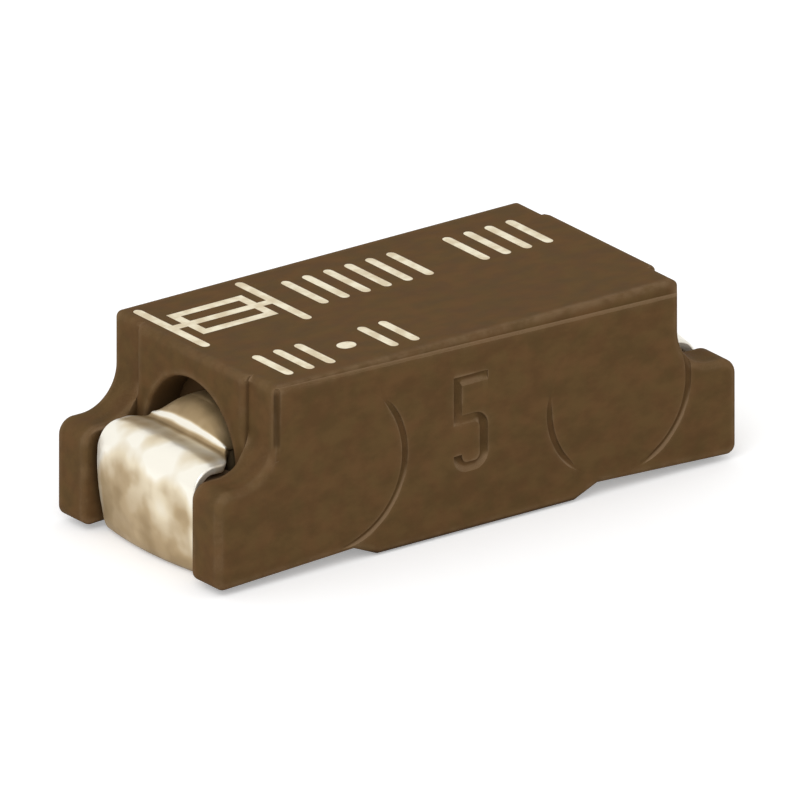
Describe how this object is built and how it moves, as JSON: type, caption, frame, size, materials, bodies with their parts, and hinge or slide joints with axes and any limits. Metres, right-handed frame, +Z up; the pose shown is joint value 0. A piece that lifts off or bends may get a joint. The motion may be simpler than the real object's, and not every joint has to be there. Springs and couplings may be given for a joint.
{
  "type": "surface-mount time delay fuse",
  "caption": "Small moulded surface-mount time delay fuse with a round melting chamber, wound fuse wire and wrap-around tinned terminals between end cheeks.",
  "frame": {"origin": "middle of the fuse on the plane of the two solder pads", "axes": "+X along the fuse from the left to the right terminal, +Y across it towards the side without the numeral, +Z up from the board"},
  "size_m": [0.0074, 0.0032, 0.0024],
  "materials": {
    "housing_plastic": "satin moulded thermoplastic",
    "tinned_terminal": "bright tin plating on copper alloy",
    "glass_fibre_core": "glass fibre yarn",
    "fuse_wire": "drawn wire",
    "solder": "solidified solder"
  },
  "bodies": {
    "root": {"housing": "housing_plastic", "terminal_left": "tinned_terminal", "terminal_right": "tinned_terminal", "element_core": "glass_fibre_core", "fuse_wire": "fuse_wire", "solder_left": "solder", "solder_right": "solder"}
  },
  "joints": []
}
